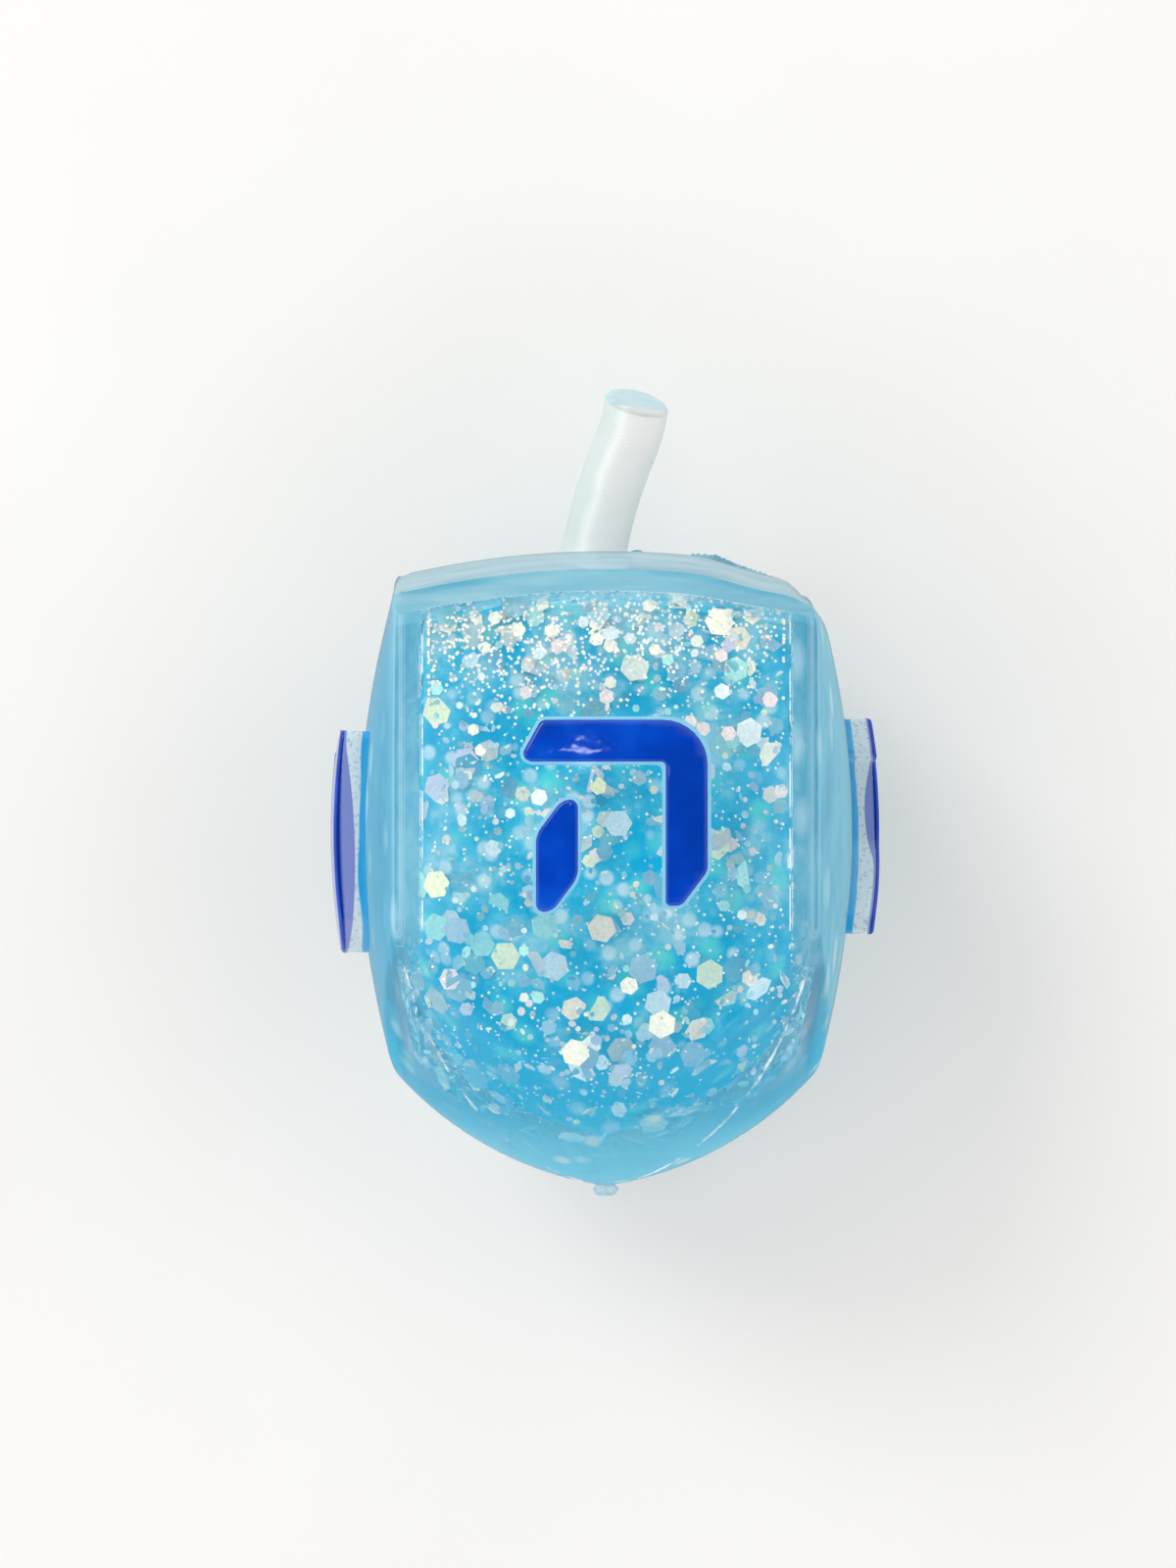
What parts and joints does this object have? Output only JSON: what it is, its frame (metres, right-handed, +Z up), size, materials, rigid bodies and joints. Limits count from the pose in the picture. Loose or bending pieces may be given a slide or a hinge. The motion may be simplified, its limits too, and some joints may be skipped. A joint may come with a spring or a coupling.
{
  "type": "dreidel",
  "caption": "Soft see-through dreidel filled with blue gel and glitter, square swollen body with a rounded tip, raised painted letters and a flexible bent stem.",
  "frame": {"origin": "on the table, under the middle of the square body, where the back letter rests", "axes": "+Y along the spin axis towards the stem, +Z up from the table through the front face, +X to the front face's right"},
  "size_m": [0.056, 0.0827, 0.0554],
  "materials": {
    "clear_rubber": "glossy, see-through, faintly blue",
    "milky_rubber": "satin, milky and half see-through",
    "clear_glue": "glossy, clear",
    "blue_gel": "clear sky-blue gel with fine glitter specks",
    "pearl_film": "pearly film that shifts between cream, pink and green",
    "blue_paint": "thick glossy royal blue paint"
  },
  "bodies": {
    "body": {"shell": "clear_rubber", "top_cap": "clear_rubber", "filler_plug": "clear_glue", "gel": "blue_gel", "glitter_large": "pearl_film", "glitter_medium": "pearl_film", "letter_he": "blue_paint", "letter_shin": "blue_paint", "letter_gimel": "blue_paint", "letter_nun": "blue_paint"},
    "stem": {"stem": "milky_rubber"}
  },
  "joints": [
    {"name": "stem_flex", "type": "hinge", "parent": "body", "child": "stem", "pos_m": [-0.0008, 0.0305, 0.0275], "axis": [0, 0, 1], "range_deg": [-30, 45], "stiffness_Nm_per_rad": 0.01}
  ]
}
